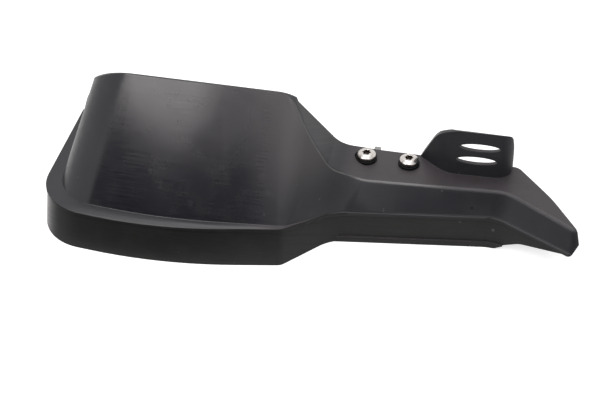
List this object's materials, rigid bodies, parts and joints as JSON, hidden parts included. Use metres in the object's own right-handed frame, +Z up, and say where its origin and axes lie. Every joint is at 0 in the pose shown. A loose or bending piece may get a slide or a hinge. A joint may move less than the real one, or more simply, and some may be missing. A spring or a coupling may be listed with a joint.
{
  "type": "motorcycle hand guard",
  "caption": "Right-hand motorcycle hand guard: moulded scoop with a ledged rim, inboard arm with a slotted tab, bar-end boss with a metal bush, and a bolted steel bracket under the arm.",
  "frame": {"origin": "on the bar-end mount's axis, at the outer seat of the bar-end boss", "axes": "+X inboard along the guard, +Y back towards the rider, +Z up from the lower rim"},
  "size_m": [0.3019, 0.0952, 0.0869],
  "materials": {
    "moulding": "satin black with fine scratches",
    "aluminium": "turned",
    "plated_steel": "zinc plated",
    "stainless_steel": "bright",
    "black_washer": "black"
  },
  "bodies": {
    "root": {"guard_shell": "moulding", "bar_end_bush": "aluminium", "mounting_bracket": "plated_steel", "weld_nut_outer": "plated_steel", "weld_nut_inner": "plated_steel", "screw_outer": "stainless_steel", "screw_inner": "stainless_steel", "washer_outer": "black_washer", "washer_inner": "black_washer"}
  },
  "joints": []
}
